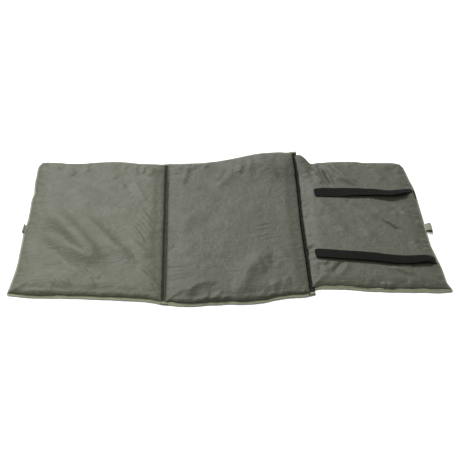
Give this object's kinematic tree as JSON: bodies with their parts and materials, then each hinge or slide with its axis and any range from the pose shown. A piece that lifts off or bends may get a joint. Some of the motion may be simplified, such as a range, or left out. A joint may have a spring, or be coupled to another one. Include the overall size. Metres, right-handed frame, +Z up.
{
  "type": "folding unhooking mat",
  "caption": "Padded mat of three foam-filled nylon panels joined by unpadded fold strips, with bound edges, elastic closing bands and a webbing peg loop at each end.",
  "frame": {"origin": "centre of the bounding box's base, on the ground under the middle of the mat's length, measured over the peg loops", "axes": "+X along the mat's length, from the wide end panel to the narrow end panel that carries the elastic bands; +Y across the mat, towards the back edge; +Z up, out of the padded top face"},
  "size_m": [1.0346, 0.54, 0.0212],
  "materials": {
    "cover_cloth": "satin",
    "base_cloth": "matte",
    "fold_cloth": "matte",
    "binding_tape": "matte",
    "thread": "matte",
    "foam": "matte",
    "elastic": "matte",
    "webbing": "matte"
  },
  "bodies": {
    "panel_left": {"top_cover_left": "cover_cloth", "bottom_cover_left": "base_cloth", "foam_core_left": "foam", "edge_binding_left": "binding_tape", "fold_seam_left_outer": "thread"},
    "strip_left": {"fold_strip_left_top": "fold_cloth", "fold_strip_left_bottom": "fold_cloth", "strip_binding_left_front": "binding_tape", "strip_binding_left_back": "binding_tape"},
    "panel_middle": {"top_cover_middle": "cover_cloth", "bottom_cover_middle": "base_cloth", "foam_core_middle": "foam", "edge_binding_middle_front": "binding_tape", "edge_binding_middle_back": "binding_tape", "fold_seam_left_inner": "thread", "fold_seam_right_inner": "thread"},
    "strip_right": {"fold_strip_right_top": "fold_cloth", "fold_strip_right_bottom": "fold_cloth", "strip_binding_right_front": "binding_tape", "strip_binding_right_back": "binding_tape"},
    "panel_right": {"top_cover_right": "cover_cloth", "bottom_cover_right": "base_cloth", "foam_core_right": "foam", "edge_binding_right": "binding_tape", "fold_seam_right_outer": "thread", "band_back_sewn_end": "elastic", "band_back_outer_end": "elastic", "band_front_sewn_end": "elastic", "band_front_outer_end": "elastic"},
    "band_back": {"band_back": "elastic"},
    "band_front": {"band_front": "elastic"},
    "peg_loop_left": {"peg_loop_left": "webbing"},
    "peg_loop_right": {"peg_loop_right": "webbing"}
  },
  "joints": [
    {"name": "left_fold", "type": "hinge", "parent": "panel_left", "child": "strip_left", "pos_m": [-0.157, 0, 0.005], "axis": [0, -1, 0], "range_deg": [0, 90]},
    {"name": "left_fold_inner", "type": "hinge", "parent": "strip_left", "child": "panel_middle", "pos_m": [-0.141, 0, 0.005], "axis": [0, -1, 0], "range_deg": [0, 90]},
    {"name": "right_fold", "type": "hinge", "parent": "panel_middle", "child": "strip_right", "pos_m": [0.185, 0, 0.005], "axis": [0, 1, 0], "range_deg": [-75, 90]},
    {"name": "right_fold_outer", "type": "hinge", "parent": "strip_right", "child": "panel_right", "pos_m": [0.199, 0, 0.005], "axis": [0, 1, 0], "range_deg": [-75, 90]},
    {"name": "band_back_pull", "type": "slide", "parent": "panel_right", "child": "band_back", "axis": [0, 0, 1], "range_m": [0, 0.08], "stiffness_N_per_m": 60},
    {"name": "band_front_pull", "type": "slide", "parent": "panel_right", "child": "band_front", "axis": [0, 0, 1], "range_m": [0, 0.08], "stiffness_N_per_m": 60},
    {"name": "peg_loop_left_flap", "type": "hinge", "parent": "panel_left", "child": "peg_loop_left", "pos_m": [-0.5016, -0.022, 0.005], "axis": [0, 1, 0], "range_deg": [0, 75]},
    {"name": "peg_loop_right_flap", "type": "hinge", "parent": "panel_right", "child": "peg_loop_right", "pos_m": [0.5016, -0.022, 0.005], "axis": [0, -1, 0], "range_deg": [0, 75]}
  ],
  "couplings": [
    {"joint": "left_fold_inner", "follows": "left_fold", "ratio": 1},
    {"joint": "right_fold_outer", "follows": "right_fold", "ratio": 1}
  ]
}
